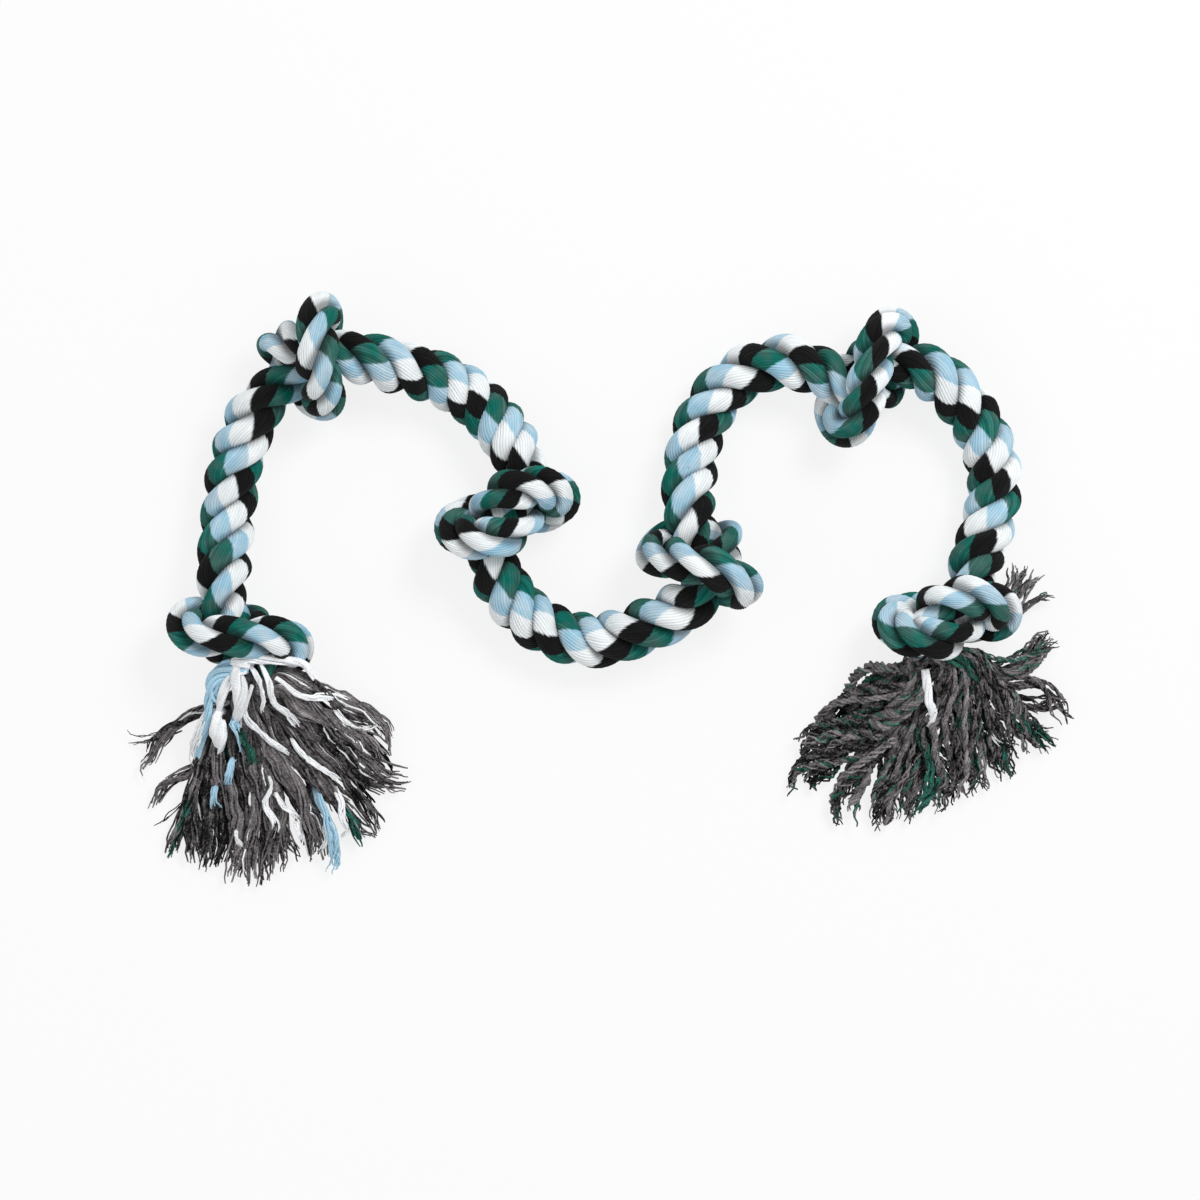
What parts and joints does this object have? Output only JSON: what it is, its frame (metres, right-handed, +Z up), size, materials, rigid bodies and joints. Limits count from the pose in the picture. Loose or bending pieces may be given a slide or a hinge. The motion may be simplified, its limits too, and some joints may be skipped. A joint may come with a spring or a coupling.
{
  "type": "rope dog toy",
  "caption": "Thick laid cotton rope tied into a row of overhand knots, with both ends frayed into tassels, for a dog to tug and chew.",
  "frame": {"origin": "on the floor under the middle of the toy's outline", "axes": "+X from the left tassel to the right one, +Y from the tassels towards the two knots at the back, +Z up from the floor"},
  "size_m": [0.5254, 0.3416, 0.0752],
  "materials": {
    "laid_cotton_rope": "soft twisted cotton yarns, matt, in green, light blue, white and black",
    "frayed_cotton_yarn": "loose matt cotton yarns, mostly charcoal"
  },
  "bodies": {
    "middle": {"knot_3": "laid_cotton_rope"},
    "left_top": {"knot_2": "laid_cotton_rope", "rope_span_2": "laid_cotton_rope"},
    "left_end": {"knot_1": "laid_cotton_rope", "rope_span_1": "laid_cotton_rope", "left_tassel": "frayed_cotton_yarn"},
    "centre_right": {"knot_4": "laid_cotton_rope", "rope_span_3": "laid_cotton_rope"},
    "right_top": {"knot_5": "laid_cotton_rope", "rope_span_4": "laid_cotton_rope"},
    "right_end": {"knot_6": "laid_cotton_rope", "rope_span_5": "laid_cotton_rope", "right_tassel": "frayed_cotton_yarn"}
  },
  "joints": [
    {"name": "span_2_bend", "type": "hinge", "parent": "middle", "child": "left_top", "pos_m": [-0.084, 0.122, 0.0173], "axis": [0, 0, 1], "range_deg": [-60, 10], "deforming": ["rope_span_2"]},
    {"name": "span_1_bend", "type": "hinge", "parent": "left_top", "child": "left_end", "pos_m": [-0.211, 0.061, 0.017], "axis": [0, 0, 1], "range_deg": [-45, 12], "deforming": ["rope_span_1"]},
    {"name": "span_3_bend", "type": "hinge", "parent": "middle", "child": "centre_right", "pos_m": [-0.008, -0.025, 0.0172], "axis": [0, 0, 1], "range_deg": [-45, 15], "deforming": ["rope_span_3"]},
    {"name": "span_4_bend", "type": "hinge", "parent": "centre_right", "child": "right_top", "pos_m": [0.067, 0.113, 0.0165], "axis": [0, 0, 1], "range_deg": [-12, 60], "deforming": ["rope_span_4"]},
    {"name": "span_5_bend", "type": "hinge", "parent": "right_top", "child": "right_end", "pos_m": [0.226, 0.08, 0.0167], "axis": [0, 0, 1], "range_deg": [-12, 60], "deforming": ["rope_span_5"]}
  ]
}
